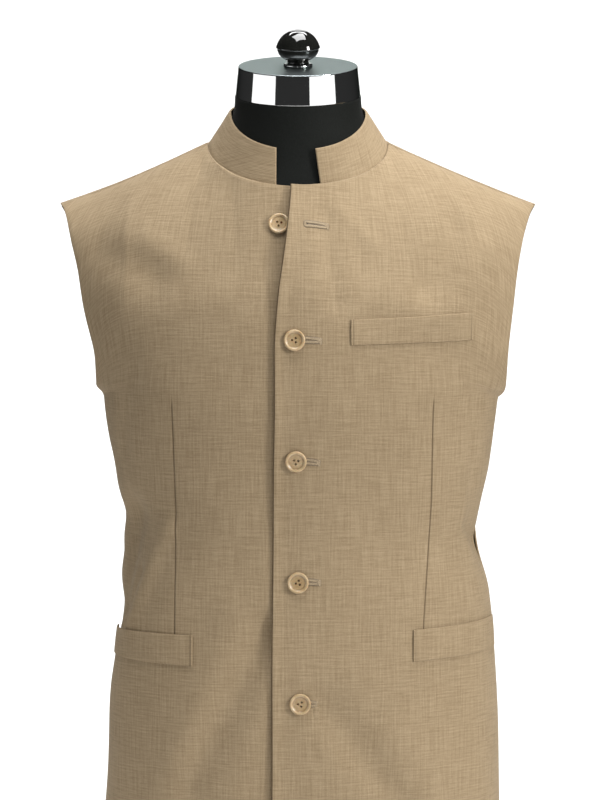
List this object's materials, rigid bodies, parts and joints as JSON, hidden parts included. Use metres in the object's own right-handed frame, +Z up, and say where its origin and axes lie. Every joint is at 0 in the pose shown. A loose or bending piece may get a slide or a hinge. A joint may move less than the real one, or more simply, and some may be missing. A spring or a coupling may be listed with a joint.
{
  "type": "nehru jacket on dress form",
  "caption": "Sleeveless tan wool nehru jacket with a band collar and horn buttons, fitted on a black limbless dress form with a chrome neck cap, a turned knob and a round base.",
  "frame": {"origin": "the middle of the base's underside, on the surface it stands on", "axes": "+Z up; the jacket's front faces -Y; +X is the wearer's left"},
  "size_m": [0.4602, 0.3, 0.9443],
  "materials": {
    "cloth": "plain weave tan wool with slubbed threads",
    "button": "polished beige imitation horn",
    "form_cloth": "black stretch jersey",
    "chrome": "polished chrome plate",
    "knob": "gloss black lacquer"
  },
  "bodies": {
    "root": {"front_left": "cloth", "front_right": "cloth", "back_left": "cloth", "back_right": "cloth", "collar": "cloth", "chest_welt": "cloth", "hip_welt_left": "cloth", "hip_welt_right": "cloth", "button_1": "button", "button_2": "button", "button_3": "button", "button_4": "button", "button_5": "button", "form_torso": "form_cloth", "neck_cap": "chrome", "knob_ring": "chrome", "knob": "knob", "post": "chrome", "base": "chrome"}
  },
  "joints": []
}
